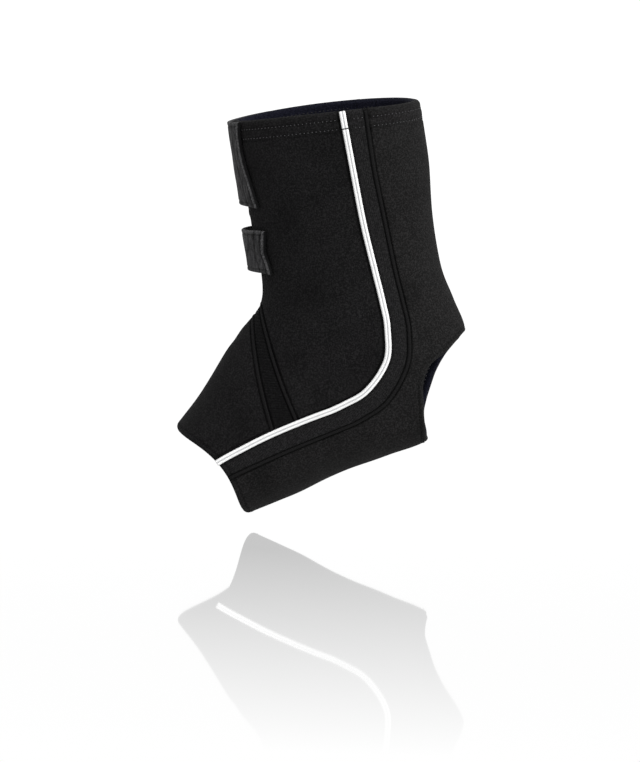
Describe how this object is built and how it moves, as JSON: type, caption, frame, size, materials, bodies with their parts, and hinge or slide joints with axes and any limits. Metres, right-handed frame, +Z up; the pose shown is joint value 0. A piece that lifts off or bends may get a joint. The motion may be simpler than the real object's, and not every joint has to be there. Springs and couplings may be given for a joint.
{
  "type": "ankle brace",
  "caption": "Padded ankle brace sleeve for the lower leg and midfoot, with an open heel, piped sides, a ribbed gusset over the ankle's bend and tabs across the front slit.",
  "frame": {"origin": "centre of the ankle joint inside the sleeve, in its middle plane", "axes": "+Z up as the brace is worn with the leg leaning forward, toes towards -X, heel towards +X, the wearer's left towards -Y"},
  "size_m": [0.1649, 0.0808, 0.237],
  "materials": {
    "shin_knit": "fine heathered knit over neoprene",
    "heel_knit": "fine heathered knit over neoprene",
    "ribbed_knit": "finely ribbed knit",
    "gusset_knit": "elastic ribbed knit",
    "white_tape": "woven tape with two ridges",
    "tab_tape": "brushed fastening tape"
  },
  "bodies": {
    "root": {"side_panel_left": "shin_knit", "stripe_left": "ribbed_knit", "piping_left": "white_tape", "piping_end_left": "white_tape", "side_panel_right": "shin_knit", "stripe_right": "ribbed_knit", "piping_right": "white_tape", "piping_end_right": "white_tape", "instep_panel": "shin_knit", "ankle_gusset": "gusset_knit", "back_panel": "heel_knit", "upper_tab": "tab_tape", "lower_tab": "tab_tape"}
  },
  "joints": []
}
